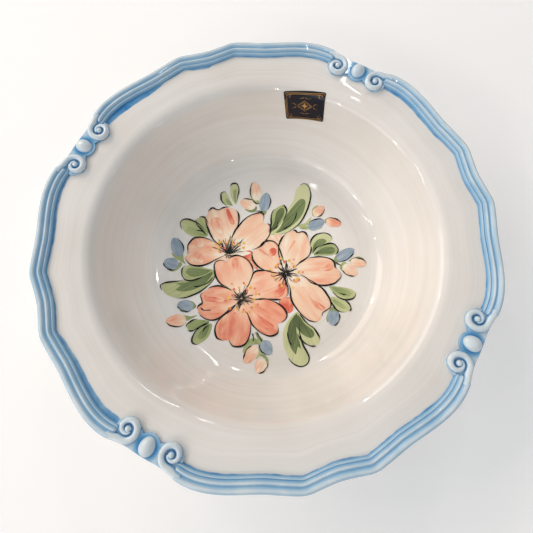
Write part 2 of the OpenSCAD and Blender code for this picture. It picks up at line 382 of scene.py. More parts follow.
# Its section, as (distance in from the edge, height above the seat): a full outer roll, and
# two lighter reeds with a hollow before each
roll, cartouche_a = (2.6, 1.9, 2.6), 9.05
reeds = [
    (2.2, 4.48), (3.3, 4.2), (4.2, 3.2), (4.8, 3.05), (5.6, 3.7), (6.2, 3.9), (6.8, 3.55),
    (7.3, 2.5), (7.8, 2.05), (8.3, 2.4), (8.7, 2.5), (9.1, 2.1), (9.45, 1.1), (9.6, -0.25),
]
run_end_a = 8.0


def on_reed(reed, angle):
    """A point of a reed's round back, at this angle from straight inward."""
    s, h, r = reed
    return s + r * cos(radians(angle)), h + r * sin(radians(angle))


def curve_through(points, count, closed=False):
    """A smooth line through points of any number of parts, with count steps in each span."""
    n, line = len(points), []
    for k in range(n if closed else n - 1):
        near = [k - 1, k, k + 1, k + 2]
        a, b, c, d = (points[i % n if closed else min(max(i, 0), n - 1)] for i in near)
        for j in range(count):
            t = j / count
            line.append(tuple(
                0.5 * (2 * q + (r - p) * t + (2 * p - 5 * q + 4 * r - s) * t * t
                       + (3 * q - p - 3 * r + s) * t**3)
                for p, q, r, s in zip(a, b, c, d)))
    return line if closed else line + [tuple(points[-1])]


across = [on_reed(roll, a) for a in range(228, 104, -8)]
across += curve_through(reeds, 4) + [(5.5, -0.25), (1.4, -0.25)]
section = [(rim_r - s, seat_h + h) for s, h in across]
run = spun("reeded_moulding_back_right", section, 300, run_end_a, 90 - 2 * run_end_a)
# How deep the glaze lies over the section, with painted shade in the grooves and a painted
# highlight on the crests: (distance in from the edge, depth)
glaze_depth_and_shade_across = [(0, 0.2), (1.2, 0.12), (2.1, 0.02), (3.0, 0.04), (4.4, 0.23), (5.5, 0.08),
           (6.2, 0.02), (6.9, 0.09), (7.8, 0.25), (8.6, 0.06), (9.5, 0.3)]
section_glaze_and_shade = [table_at(glaze_depth_and_shade_across, rim_r - hypot(v.co.x, v.co.y) / MM) for v in run.data.vertices]
# Each end is rounded off like a thumb, and goes in under its scroll
end_l, end_middle, end_width, end_height = 2.2, rim_r - 5.2, 0.6, 0.55
for vertex in run.data.vertices:
    x, y, z = vertex.co / MM
    angle, r = degrees(atan2(y, x)), hypot(x, y)
    from_end = radians(min(angle - run_end_a, 90 - run_end_a - angle)) * r
    full = sqrt(max(1 - (1 - part(from_end, 0, end_l)) ** 2, 0))
    spot = mix(end_middle, r, mix(end_width, 1, full)) / r
    vertex.co = (x * spot * MM, y * spot * MM, mix(seat_h, z, mix(end_height, 1, full)) * MM)
press_to_outline(run)


# ---- Cartouche plates ----
# A flat tile of clay at each quarter of the rim, cut round to take two scrolls, and laid on
# the flange between two runs of moulding.

edge_r = rim_r - cartouche_dip
plate_t, plate_inner_r, pad_r, eye_x, eye_y = 1.6, 136.2, 6.3, 136.85, 14.5
plate_middle, lobe_r, never = 139.0, 6.9, 1000.0


def leaves_circle(theta, x, y, r, outward=True):
    """How far a line from the plate's middle goes until it leaves (or enters) a circle."""
    dx, dy = plate_middle - x, -y
    b = dx * cos(theta) + dy * sin(theta)
    under_root = b * b - (dx * dx + dy * dy - r * r)
    missed = 0.0 if outward else never
    if under_root < 0:
        return missed
    reach = -b + sqrt(under_root) * (1 if outward else -1)
    return reach if reach > 0 else missed


def plate_reach(theta):
    """How far the plate reaches from its middle in this direction."""
    slope = tan(radians(cartouche_a))
    towards_end = abs(sin(theta)) - slope * cos(theta)
    end = plate_middle * slope / towards_end if towards_end > 0 else never
    # The edge's dip hangs on the angle it is met at, so it is found in a few goes
    outer = 7.0
    for _ in range(4):
        angle = degrees(atan2(outer * sin(theta), plate_middle + outer * cos(theta)))
        outer = leaves_circle(theta, 0, 0, rim_r - drawn_in(angle, 1))
    band = min(outer, leaves_circle(theta, 0, 0, plate_inner_r, outward=False))
    lobe = leaves_circle(theta, plate_middle + 0.4, 0, lobe_r)
    band = min(outer, max(band, lobe))
    pad = leaves_circle(theta, eye_x, eye_y if sin(theta) > 0 else -eye_y, pad_r)
    # Where the middle's lobe and a scroll's pad meet, the nick between them is soft
    return min((band + pad + sqrt((band - pad) ** 2 + 0.8)) / 2 if pad else band, end)


plate_h = seat_h + plate_t
rings = [k / 16 for k in range(17)]
plate = spun("cartouche_plate_blue_right",
             [(f, plate_h) for f in rings] + [(1, seat_h - 0.2), (0, seat_h - 0.2)], 240)
for vertex in plate.data.vertices:
    x, y, _ = vertex.co
    theta = atan2(y, x)
    reach_mm = plate_reach(theta) * hypot(x, y)
    vertex.co.x = plate_middle * MM + reach_mm * cos(theta)
    vertex.co.y = reach_mm * sin(theta)


def soften(piece, width, segments=3):
    """Rounds a piece's sharp edges over."""
    pick(piece)
    bevel = piece.modifiers.new("soften", "BEVEL")
    bevel.width, bevel.segments = width * MM, segments
    bevel.limit_method, bevel.angle_limit = "ANGLE", radians(55)
    bpy.ops.object.modifier_apply(modifier=bevel.name)
    bpy.ops.object.shade_smooth_by_angle(angle=radians(50))


soften(plate, 0.5)


# ---- Cartouche bosses ----
# A thumb of clay rolled to an egg and pressed on the middle of each plate, broad end
# outward, so that it stands out of the plate as a smooth dome.

boss_l, boss_w, boss_rise = 12.4, 9.8, 3.6
pick()
bpy.ops.mesh.primitive_uv_sphere_add(segments=72, ring_count=48, radius=MM)
boss = bpy.context.object
boss.name = boss.data.name = "cartouche_boss_dome_right"
for vertex in boss.data.vertices:
    x, y, z = vertex.co
    vertex.co = ((edge_r - boss_l / 2) * MM + x * boss_l / 2,
                 y * boss_w / 2 * (1 + 0.1 * x / MM),
                 (plate_h + boss_rise - boss_w / 2) * MM + z * boss_w / 2)
edit(boss)
bpy.ops.mesh.bisect(plane_co=(0, 0, (plate_h - 0.3) * MM), plane_no=(0, 0, 1),
                    clear_inner=True, use_fill=True)
bpy.ops.object.mode_set(mode="OBJECT")
close_up(boss, 50)


# ---- Scrolls ----
# The moulding's outer roll carries on past its end, thins, and is curled in on itself beside
# the boss, a turn and a quarter round a ball of clay.

# Round the eye, from its outward side: (angle, centre from the eye, half width, height)
curl = [
    (0, 6.9, 2.2, 72.05), (45, 5.9, 2.05, 72.2), (90, 5.2, 1.9, 72.35), (180, 4.95, 1.75, 72.45),
    (270, 4.1, 1.5, 72.4), (360, 2.6, 1.3, 72.35), (430, 1.3, 1.2, 72.5),
]
ball_r, ball_h = 1.9, 72.7


def rods(name, paths, roundness=4):
    """Tapered round rods in one mesh. A path is a list of (x, y, z, radius)."""
    pick()
    bpy.ops.curve.primitive_nurbs_path_add()
    piece = bpy.context.object
    piece.name = name
    line = piece.data
    line.splines.clear()
    line.twist_mode, line.use_fill_caps = "Z_UP", True
    line.bevel_depth, line.bevel_resolution = MM, roundness
    for points in paths:
        spline = line.splines.new("POLY")
        spline.points.add(len(points) - 1)
        for point, (x, y, z, r) in zip(spline.points, points):
            point.co, point.radius = (x * MM, y * MM, z * MM, 1), max(r, 0.001)
    bpy.ops.object.convert(target="MESH")
    piece = bpy.context.object
    piece.data.name = name
    return close_up(piece, 60)


lead = [(145.02, 24.5, 71.9, 2.5), (144.97, 23.0, 71.9, 2.55), (144.5, 20.3, 72.0, 2.35),
        (144.0, 17.3, 72.15, 2.15)]
turns = []
for k in range(0, 430, 15):
    radius, half, height = (
        table_at([(row[0], row[j]) for row in curl], k) for j in (1, 2, 3))
    turns.append((eye_x + radius * cos(radians(k)), eye_y - radius * sin(radians(k)),
                  height, half))
scroll = rods("scroll_roll_right_ahead", [curve_through(lead + turns, 4)], 7)
pick()
bpy.ops.mesh.primitive_uv_sphere_add(segments=40, ring_count=24, radius=ball_r * MM,
                                     location=(eye_x * MM, eye_y * MM, ball_h * MM))
bpy.ops.object.transform_apply(location=True, rotation=True, scale=True)
pick(scroll, bpy.context.object)
bpy.ops.object.join()
# Below its widest, the roll goes down as a wall to the flange
wide_h, fall, fall_most = 72.0, 2.2, 2.15
for vertex in scroll.data.vertices:
    below = wide_h - vertex.co.z / MM
    if below > 0:
        vertex.co.z = (wide_h - min(below * fall, fall_most)) * MM
bpy.ops.object.shade_smooth_by_angle(angle=radians(60))


# ---- The rim set round, and its glaze ----
# The four runs, plates and bosses and the eight scrolls are alike, so each is shaped once
# and copied round by quarter turns. All are brushed with one blue glaze.

def copy_of(piece, name, turn, mirrored=False):
    """A copy of a piece under its own name, turned about Z by some degrees."""
    pick(piece)
    bpy.ops.object.duplicate()
    twin = bpy.context.object
    twin.name = twin.data.name = name
    if mirrored:
        twin.data.transform(Matrix.Scale(-1, 4, (0, 1, 0)))
        twin.data.flip_normals()
    twin.data.transform(Matrix.Rotation(radians(turn), 4, "Z"))
    return twin


sides = ["right", "back", "left", "front"]
corners = ["back_right", "back_left", "front_left", "front_right"]
rim_pieces = []
for k, (side, corner) in enumerate(zip(sides, corners)):
    for model, name, cad_node in (
            (run, f"reeded_moulding_{corner}", f"rim_moulding_{corner}"),
            (plate, f"cartouche_plate_blue_{side}", f"cartouche_plate_{side}"),
            (boss, f"cartouche_boss_dome_{side}", f"cartouche_boss_{side}"),
            (scroll, f"scroll_roll_{side}_ahead", f"scroll_{side}_ahead")):
        rim_pieces.append((copy_of(model, name, 90 * k) if k else model, model, cad_node))
    made = copy_of(scroll, f"scroll_roll_{side}_behind", 90 * k, mirrored=True)
    rim_pieces.append((made, scroll, f"scroll_{side}_behind"))


def sheltered(piece, tree, reach, count=28):
    """How far each point lies in a hollow: the share of short lines out of it that end on
    something, the nearer the more."""
    chance = random.Random(5)
    lines = [Vector([chance.gauss(0, 1) for _ in range(3)]).normalized() for _ in range(count)]
    values = []
    for vertex in piece.data.vertices:
        start = vertex.co + vertex.normal * 0.03 * MM
        total = weight = 0.0
        for line in lines:
            facing = line.dot(vertex.normal)
            way = line if facing > 0 else -line
            facing = abs(facing)
            weight += facing
            found = tree.ray_cast(start, way, reach)
            if found[0] is not None:
                total += facing * (1 - found[3] / reach)
        values.append(total / weight)
    return values


points, faces = [], []
for made in [bowl, *(row[0] for row in rim_pieces)]:
    shift = len(points)
    points += [v.co.copy() for v in made.data.vertices]
    faces += [[shift + i for i in face.vertices] for face in made.data.polygons]
tree = BVHTree.FromPolygons(points, faces)
hollow_width = 3.2
# The blue is darkened by how shut in each point is: painted shade in the grooves and between the
# parts, on top of the glaze that gathers there
pooled_glaze_and_shade = {made: sheltered(made, tree, hollow_width * MM) for made in (run, plate, boss, scroll)}
pooled_glaze_and_shade[run] = [0.45 * a + b for a, b in zip(pooled_glaze_and_shade[run], section_glaze_and_shade)]
pooled_glaze_and_shade[scroll] = [0.75 * a for a in pooled_glaze_and_shade[scroll]]
# On the plates it gathers round the boss too, most at the boss's two sides, as glaze and as painted
# shade beside the dome
beside = []
for vertex in plate.data.vertices:
    x, y, _ = vertex.co / MM
    px, py = (x - edge_r + boss_l / 2) / (boss_l / 2), y / (boss_w / 2)
    off, side = abs(hypot(px, py) - 1) * boss_w / 2, abs(py) / max(hypot(px, py), 0.01)
    beside.append((0.12 + 0.5 * side ** 2) * (1 - part(off, 0.2, hollow_width)))
pooled_glaze_and_shade[plate] = [0.05 + 0.6 * a + b for a, b in zip(pooled_glaze_and_shade[plate], beside)]

# A blue glaze over the white one, brushed on: it runs off the crests, which show pale with a
# painted highlight, and pools deep blue in the grooves, darkened further by painted shade. Melted
# glass, with a full gloss.
blue = new_finish("blue_glaze_brushed_and_fired")
where = add(blue, "TexCoord", out="Object")
depth = add(blue, "Attribute", attribute_name="pooled_glaze_and_shade", out="Fac")
cloud = add(blue, "TexNoise", {"Vector": where, "Scale": 1 / (14 * MM), "Detail": 3.0})
uneven = add(blue, "Math", {0: cloud, 1: 0.22, 2: -0.11}, operation="MULTIPLY_ADD")
lying = add(blue, "Math", {0: depth, 1: uneven}, operation="ADD")
# The palest stop paints a highlight on the crests; the deepest stops carry painted shade in the
# grooves and between the parts
tint = add(blue, "ValToRGB", {"Fac": lying},
           stops=[(0.0, "#DDE8EE"), (0.1, "#B9D4E6"), (0.28, "#8CBBDD"), (0.52, "#579DCF"),
                  (0.9, "#3280C0")])
peel = add(blue, "TexNoise", {"Vector": where, "Scale": 1 / (4 * MM), "Detail": 2.0})
ripple = add(blue, "Bump", {"Height": peel, "Strength": 0.5, "Distance": 0.05 * MM})
finish_with(blue, tint, ripple, Roughness=0.05, IOR=1.55)
for made, model, cad_node in rim_pieces:
    note(made, "pooled_glaze_and_shade", pooled_glaze_and_shade[model])
    finished(made, blue, "blue_glaze", cad_node)


# ---- Painted bouquet: petals ----
# Three blossoms painted on the floor under the glaze, each of broad heart-shaped petals laid
# in with one loaded brush: thin peach near the heart, coral where the colour ran together.

paint_lift, layer_t, paint_gloss = 0.045, 0.012, 0.06
bud_layer, dot_layer = 22, 38


def floor_at(r):
    """Height of the bowl's inside at this radius."""
    return table_at(inside_heights, r)


inside_heights = [(p.x, p.y) for p in inside]

# The brush's one daub: a thin round pat, to be pressed to the outline of each petal or leaf
daub_rings = [0.0, 0.22, 0.42, 0.6, 0.76, 0.88, 0.96, 1.0]
daub = spun("daub", [(f, 1.0) for f in daub_rings] + [(1.0, 0.0), (0.0, 0.0)], 72)
daub_plan = [(hypot(v.co.x, v.co.y) / MM, degrees(atan2(v.co.y, v.co.x)) % 360 / 360,
              v.co.z / MM > 0.5) for v in daub.data.vertices]


def daubs(name, shapes, layer=0):
    """Thin pats of paint in one mesh. A shape is (tone, its outline from the base round);
    each lies a little over the one before it."""
    made = []
    for order, (tone, outline) in enumerate(shapes):
        line = curve_through(outline, 8, closed=True)
        middle = Vector((sum(p[0] for p in line), sum(p[1] for p in line))) / len(line)
        base = Vector(outline[0])
        axis = (middle - base).normalized()
        length = max((Vector(p) - base).dot(axis) for p in line)
        width = max(abs((Vector(p) - base).cross(axis)) for p in line)
        lift = paint_lift + layer_t * (order + layer)
        spots, along, aside = [], [], []
        for f, turn, on_top in daub_plan:
            at = turn * len(line)
            k = int(at) % len(line)
            edge = Vector(line[k]).lerp(Vector(line[(k + 1) % len(line)]), at - int(at))
            spot = middle.lerp(edge, f)
            height = floor_at(spot.length) + (lift if on_top else -0.1)
            spots += [spot.x * MM, spot.y * MM, height * MM]
            along.append((spot - base).dot(axis) / length)
            aside.append(axis.cross(spot - base) / width)
        pick(daub)
        bpy.ops.object.duplicate()
        pat = bpy.context.object
        pat.data.vertices.foreach_set("co", spots)
        for what, values in (("along", along), ("aside", aside), ("tone", [tone] * len(along)),
                             ("rim", [plan[0] for plan in daub_plan]),
                             ("which", [float(order)] * len(along))):
            note(pat, what, values)
        made.append(pat)
    pick(*made)
    bpy.ops.object.join()
    piece = bpy.context.object
    piece.name = piece.data.name = name
    edit(piece)
    bpy.ops.mesh.normals_make_consistent(inside=False)
    bpy.ops.object.mode_set(mode="OBJECT")
    bpy.ops.object.shade_smooth_by_angle(angle=radians(50))
    return piece


# Each blossom's heart, then its petals as (tone, outline on from the heart)
left_heart, top_heart, low_heart = (-35.4, 2.4), (-4.8, 28.2), (-1.8, -18.6)
hidden_petals = [
    (0.95, [(-17, -30), (-24, -24), (-29, -33), (-26.5, -36.5), (-22.5, -36)]),
    (1.0, [(-4, 8), (-10, 2), (-8, 11), (-6, 19), (-2, 21), (1.5, 14)]),
    (0.25, [(14, -3), (11, 5), (16, 8.6), (22, 7), (25, 0), (21, -3)]),
    (0.2, [top_heart, (-12, 33), (-19, 36), (-15, 29), (-8, 21), (0, 14)]),
]
top_petals = [
    (0.45, [top_heart, (-18, 36), (-27.5, 43.5), (-30.6, 52), (-28, 58.6), (-24.3, 57.6),
            (-18.5, 61.3), (-11, 60), (-6.4, 52), (-6.6, 42)]),
    (0.3, [top_heart, (-6.2, 38), (-4.2, 46), (0.5, 53), (7.5, 60), (13.5, 61.4), (18.5, 60),
           (19.2, 54.8), (23.8, 51.5), (26.3, 45), (24, 39), (17, 34.8), (6, 33.2)]),
    (0.25, [top_heart, (5, 33.5), (16, 33), (26, 30), (31.5, 25.5), (33.2, 20.5), (27.2, 17),
            (27.6, 12), (22.5, 8.2), (15, 8.4), (7, 10.6), (0, 17.5)]),
]
low_petals = [
    (0.35, [low_heart, (-5, -11), (-7.2, -3), (-6.6, 5), (-2.5, 11), (2, 12.6), (7, 10.4),
            (12, 8.6), (16, 4.5), (15.6, -2), (10, -8), (4, -14)]),
    (0.25, [low_heart, (7, -9), (14, -4), (22, -2.5), (29, -4.4), (33, -8.4), (32.2, -11.6),
            (35.2, -15.6), (32.5, -20.5), (26, -26.5), (18.5, -27.8), (10, -23.5)]),
    (0.35, [low_heart, (3.4, -31), (1.2, -40), (4, -50), (10, -56), (16.5, -57.6), (20, -54),
            (20.6, -50.8), (24.6, -47), (24.4, -41), (20.5, -33), (14, -25.5)]),
    (0.3, [low_heart, (-10, -26.5), (-18, -32), (-23, -40), (-25.8, -49.5), (-24.4, -56.5),
           (-20.5, -58.8), (-15.6, -57.6), (-9.5, -60.9), (-4, -58), (0.2, -50), (1.8, -40),
           (1.8, -30)]),
]
left_petals = [
    (0.6, [left_heart, (-47.5, 7), (-58.5, 11.5), (-62.2, 20), (-60, 27.3), (-55.8, 29),
           (-52.6, 27.4), (-48, 31.8), (-42, 29.6), (-36, 24), (-34, 13)]),
    (0.4, [left_heart, (-33.2, 14), (-32.6, 23), (-28.5, 30), (-21.5, 34.6), (-17, 32.4),
           (-15.4, 28), (-10.5, 26), (-6.6, 21), (-7, 12.5), (-11, 6.5), (-18, 3.2)]),
    (0.65, [left_heart, (-46, 4.5), (-56, 9.2), (-65, 9), (-70.3, 4.5), (-70, -1),
            (-68, -4.5), (-69.9, -9), (-67, -15), (-61, -17), (-53, -14.8), (-45.5, -9.5)]),
    (0.5, [left_heart, (-22, 2.8), (-12.5, 3.5), (-8, -2.4), (-5.2, -9), (-3.6, -14),
           (-7, -20.5), (-12.5, -26), (-17.5, -27.3), (-22.3, -24), (-26, -16), (-30, -9)]),
    (0.65, [left_heart, (-44, -8), (-49.5, -15), (-51.3, -24), (-50, -31), (-45, -34.2),
            (-40.1, -31.4), (-36, -34.2), (-31, -34.6), (-26.6, -28.5), (-26.2, -20),
            (-28.5, -12)]),
]
petals = hidden_petals + top_petals + low_petals + left_petals
petal_piece = daubs("painted_petals", petals)

# Wet strokes of deep coral: folds and shaded lobes, laid over the petals
folds = [
    (1.0, [(14.6, 37.6), (14, 40.5), (19, 46.5), (23, 49.5), (24, 48), (20.5, 43), (17, 38.5)]),
    (0.6, [(-5.4, -34.5), (-8.4, -36.5), (-11, -44), (-15, -52), (-14.4, -57), (-11, -57.6),
           (-12.6, -52), (-9, -44), (-5, -37.5)]),
    (0.95, [(-21.5, -19), (-21, -23), (-16, -24.4), (-9, -22.6), (-10, -20), (-17, -17.8)]),
    (1.0, [(5.6, 0), (5.4, -2.6), (8.5, -4.2), (12, -2.6), (11.6, 0.6), (8.5, 1.6)]),
    (0.8, [(-43, 12), (-48, 20), (-50.4, 26), (-47, 29.4), (-45.6, 24), (-42, 17)]),
    (0.75, [(-50, 7.4), (-60, 8), (-66, 6.6), (-67.6, 2), (-62, 2.4), (-54, 4)]),
    (0.75, [(-41.4, -9), (-46, -17), (-46.4, -27), (-42.6, -29.6), (-41, -20)]),
    (0.7, [(-20, 16), (-17, 21.6), (-11.6, 24), (-9, 21), (-13, 18.4)]),
    (0.55, [(12, -12.5), (19, -11), (25, -11.8), (24.4, -13.4), (18, -12.8)]),
    (0.6, [(12.4, -40), (15.4, -46.6), (19.4, -49.4), (22, -45), (17.4, -43.4)]),
    (0.6, [(-27, 49), (-29, 52.5), (-25, 55.5), (-19.5, 52), (-20.5, 45), (-25, 44)]),
    (0.7, [(4, -4), (5.4, 2), (6.6, 8.4), (5, 9), (4.2, 3)]),
    (0.45, [(-14, 50), (-15.5, 56), (-11, 58.6), (-8.4, 53)]),
    (0.5, [(2, 42), (4, 52), (10, 56.4), (14, 50), (9, 45)]),
]
fold_piece = daubs("painted_petal_folds", folds, layer=len(petals))

# Underglaze coral, brushed wet: the colour is thin and creamy at the heart, streaked along
# the petal, and gathers a little darker in clouds and towards the rim of the stroke.
coral = new_finish("coral_underglaze_brushed")
noted = ["along", "aside", "which", "tone", "rim"]
along, aside, which, tone, rim = (
    add(coral, "Attribute", attribute_name=name, out="Fac") for name in noted)
own = add(coral, "Math", {0: which, 1: 7.3}, operation="MULTIPLY")
stroke = add(coral, "CombineXYZ", {"X": along, "Y": aside, "Z": own})
drawn = add(coral, "Mapping", {"Vector": stroke, "Scale": (1.2, 5.0, 1.0)})
streaks = add(coral, "TexNoise", {"Vector": drawn, "Scale": 1.6, "Detail": 3.0, "Roughness": 0.6})
pools = add(coral, "Mapping", {"Vector": stroke, "Scale": (1.5, 1.6, 1.0)})
clouds = add(coral, "TexNoise", {"Vector": pools, "Scale": 1.4, "Detail": 2.0})
grown = ranged(coral, along, 0.1, 0.55, -0.32, 0.0, interpolation_type="SMOOTHSTEP")
edged = ranged(coral, rim, 0.82, 1.0, 0.0, 0.08)
deep = tone
for cause, share in ((grown, 1.0), (clouds, 1.0), (streaks, 0.36), (edged, 1.0)):
    deep = add(coral, "Math", {0: cause, 1: share, 2: deep}, operation="MULTIPLY_ADD")
deep = add(coral, "Math", {0: deep, 1: 0.66}, operation="SUBTRACT")
wash = add(coral, "ValToRGB", {"Fac": deep},
           stops=[(0.0, "#FCEEDB"), (0.22, "#FBDABD"), (0.5, "#F9C1A2"), (0.75, "#F29F81"),
                  (1.0, "#E26C56")])
finish_with(coral, wash, Roughness=paint_gloss, IOR=1.5)
finished(petal_piece, coral, "coral_paint")
finished(fold_piece, coral, "coral_paint")


# ---- Painted bouquet: leaves ----
# Round-ended leaves, each one press of a broad brush in light green with a second, darker
# stroke down its middle while the first was wet.

leaves = [
    (0.3, [(-26, 32), (-34, 29.8), (-43, 32.8), (-52, 38.5), (-58.5, 47), (-60.6, 56),
           (-56.5, 62.8), (-51.8, 60), (-46.5, 52), (-39, 44), (-30, 37.2)]),
    (0.4, [(-26.8, 33.5), (-34.5, 38), (-41, 44), (-42.8, 50), (-38, 55), (-32.5, 53),
           (-29.6, 46), (-27.6, 39)]),
    (0.3, [(-4, 52), (-8.8, 58), (-10.4, 66), (-8, 73.5), (-3.5, 76.8), (0.4, 73),
           (1.3, 66), (-0.4, 58)]),
    (0.45, [(-4, 51.6), (-1.5, 58), (1, 64.5), (4.6, 66.9), (7.9, 63.5), (7, 59.5), (2, 54.5)]),
    (0.25, [(28, 46.5), (26.6, 53), (29.5, 57.6), (33, 59.8), (35.8, 57.4), (33.4, 53),
            (30, 48.8)]),
    (0.2, [(30.6, 44.4), (33.5, 50.5), (39, 55.2), (44, 56.2), (46.4, 53), (43.5, 49.6),
           (37, 46.8)]),
    (0.6, [(-63, 15.6), (-69, 20), (-75, 24), (-75.4, 27.6), (-72.5, 29.4), (-67.5, 26.4),
           (-64.4, 21.5)]),
    (0.5, [(-63.5, 13.8), (-68, 18.6), (-75, 21), (-80.5, 20), (-82.4, 16.8), (-79, 12.8),
           (-73, 10.6), (-66.5, 11.6)]),
    (0.15, [(-24.5, -40.5), (-32, -37.4), (-42, -37.6), (-52, -43), (-58.5, -51.5),
            (-59.6, -59.5), (-55.5, -64), (-49.5, -62.4), (-44.5, -55), (-37, -48.4),
            (-29, -44.5)]),
    (0.15, [(-25, -41.5), (-28.8, -50), (-30.4, -58), (-34.5, -64.2), (-38.5, -65.2),
            (-42, -61.5), (-42.2, -55), (-38.5, -47.5), (-32, -42)]),
    (0.15, [(22, -29.6), (28, -25.4), (34.5, -24.6), (40, -28), (42.6, -34), (39.5, -38.4),
            (34.5, -36), (28, -32)]),
    (0.45, [(22, -31), (25, -38), (28.4, -44), (32.5, -46.7), (36.4, -44), (36.2, -39),
            (31.5, -34)]),
    (0.2, [(-2.2, -58), (-6.4, -62), (-8.6, -68), (-6.8, -73.5), (-3.4, -75.4), (-0.3, -71.5),
           (0, -64)]),
    (0.35, [(4.8, -53.5), (1.6, -60), (1.2, -67), (4.6, -73), (9.4, -73.6), (10.8, -69),
            (8.2, -60.5)]),
    (0.0, [(20.8, 8.6), (34, 6), (46, 5), (56, 4.4), (65, 6.6), (71.5, 4.4), (72.8, 0),
           (67, -5.4), (58, -8.2), (47, -9.6), (37, -7.8), (28.5, -3.4), (23.5, 2)]),
    (0.5, [(21.4, 8.8), (28, 10.3), (34.5, 13.2), (40, 14.6), (46, 12), (47.6, 8.6),
           (43.5, 4.6), (35, 4), (26.5, 5.8)]),
]
dark_strokes = [
    (0.85, [(-28, 33), (-38, 33.4), (-47, 39), (-53, 47), (-53.6, 53.4), (-49, 53), (-44, 46),
            (-36, 39)]),
    (0.8, [(-28, 35), (-34, 39), (-38.6, 45), (-38.4, 51), (-34.4, 51.6), (-31.4, 46),
           (-29.4, 40)]),
    (0.95, [(-26, -40.6), (-34, -39), (-43, -41.4), (-50, -47.4), (-53.4, -54), (-51.4, -57.4),
            (-46, -54), (-38, -46.6), (-30, -43)]),
    (0.95, [(-26.6, -42), (-30, -50), (-31.4, -57), (-34, -59.6), (-37.4, -58), (-37.6, -51),
            (-34, -44)]),
    (0.85, [(23, -29.8), (29, -27.4), (34.6, -28.4), (37.4, -32), (37, -35), (33, -34),
            (28, -31)]),
    (0.9, [(24, -32), (27, -39), (30, -44), (33.4, -44.6), (34.6, -41), (31, -35.6)]),
    (0.85, [(24, 4), (30, 3), (42, 3.4), (54, 1.6), (60, -1), (59, -5), (50, -7.6),
            (40, -6.4), (30, -1.6)]),
    (1.0, [(23, 8.4), (32, 9.6), (40, 11.8), (45, 10.2), (45, 7.4), (40, 5.6), (30, 6)]),
    (0.8, [(-65.6, 14.4), (-71, 17.6), (-76.4, 18), (-77.6, 15), (-73, 12.6)]),
    (0.6, [(-65, 17), (-70, 21.4), (-73, 25.6), (-70, 26.4), (-66.4, 22.4)]),
    (0.5, [(-4, 54), (-7.6, 60), (-7.6, 68), (-5, 70), (-3, 64)]),
    (0.6, [(28.2, 47), (28.4, 51.6), (30.4, 54.6), (31.4, 52.8), (29.8, 49)]),
    (0.6, [(31.4, 45.4), (35, 49.4), (40, 52.4), (42, 50.8), (37.4, 48.4)]),
    (0.5, [(-2.8, -60), (-5.6, -64), (-6, -70), (-4, -72), (-2.4, -67)]),
    (0.6, [(5, -55.4), (3.4, -62), (4.4, -69), (8, -71), (8.6, -66), (7, -60)]),
]
# Green cups that hold the buds, and short stems
cups = [
    (0.5, [(-34, 57.6), (-39.6, 58.6), (-43, 62), (-42.6, 66.4), (-41, 63.6), (-38, 60.6),
           (-33.4, 60.4)]),
    (0.5, [(-32.4, 55.6), (-32.6, 60), (-32.2, 66), (-30, 70.4), (-29.4, 66), (-28, 61.6),
           (-26, 61.4), (-30, 58.6)]),
    (0.6, [(-58, 30.4), (-63, 33.4), (-66.6, 38.4), (-65.6, 40.2), (-62, 35), (-57, 34),
           (-56.2, 38), (-55.8, 33.4)]),
    (0.6, [(-63, 26.2), (-68, 29.4), (-70.6, 31.4), (-70, 36), (-69.4, 39.6), (-67, 33),
           (-66, 29.6)]),
    (0.7, [(32, 27.8), (29.8, 31.4), (30, 36), (31.8, 34.6), (33.4, 31), (36.6, 29.4),
           (35.6, 27.6)]),
    (0.4, [(39, 28.4), (39.8, 33.6), (43, 38.6), (44.2, 37.4), (41.8, 32.4), (42, 29)]),
    (0.7, [(32.6, 20.8), (35, 23.4), (37.6, 21), (36.8, 19.2), (34, 19.2)]),
    (0.3, [(37, -9.6), (39.4, -14), (44, -16.4), (49.4, -15.4), (47.4, -14.2), (42.4, -13.6),
           (39.4, -10)]),
    (0.5, [(36.6, -11), (37.4, -15), (40, -18.4), (41.2, -16.6), (38.4, -12.6)]),
    (0.4, [(39.8, -17.4), (40, -21), (43.4, -25.6), (46.2, -27), (43.6, -22.4), (42, -18.6)]),
    (0.5, [(51, -17), (52.4, -14.4), (57, -12.8), (61.4, -15.4), (57, -15.2), (53.4, -16.8)]),
    (0.5, [(50, -27.6), (53, -26), (56.6, -28.8), (57, -30.8), (53.6, -28.4)]),
    (0.6, [(24.4, -47.8), (28.6, -46.8), (33, -48.6), (29, -50), (27, -53), (25.6, -51)]),
    (0.5, [(21, -55.6), (23.4, -53.4), (27.6, -54.4), (28, -57.4), (25, -55.6), (22.4, -58),
           (20.8, -58.4)]),
    (0.7, [(30, -58), (34, -59.6), (37.4, -63.4), (37.6, -67.6), (35.4, -66.4), (33.4, -61.4)]),
    (0.6, [(-8.4, -62.8), (-13, -61.4), (-18.4, -62), (-20.6, -64.4), (-16, -63.8),
           (-11, -65.8), (-9.6, -68.6)]),
    (0.5, [(-57.4, -20), (-63, -17.2), (-69, -17.2), (-71, -19), (-64.4, -20), (-60.6, -24),
           (-59, -26)]),
    (0.4, [(-56.4, -22.4), (-60.4, -27), (-66.4, -29.2), (-70.4, -29.4), (-64, -31),
           (-58, -26.6), (-54, -20.6)]),
    (0.6, [(-66.6, -30), (-66.6, -35), (-70.4, -39.4), (-66.4, -37.6), (-64.6, -33)]),
    (0.7, [(-53.4, -19), (-56.4, -23.6), (-58.6, -28), (-55.4, -27), (-54, -22.6)]),
]
leaf_piece = daubs("painted_leaves", leaves)
stroke_piece = daubs("painted_leaf_strokes", dark_strokes, layer=len(leaves))
cup_piece = daubs("painted_bud_cups", cups)

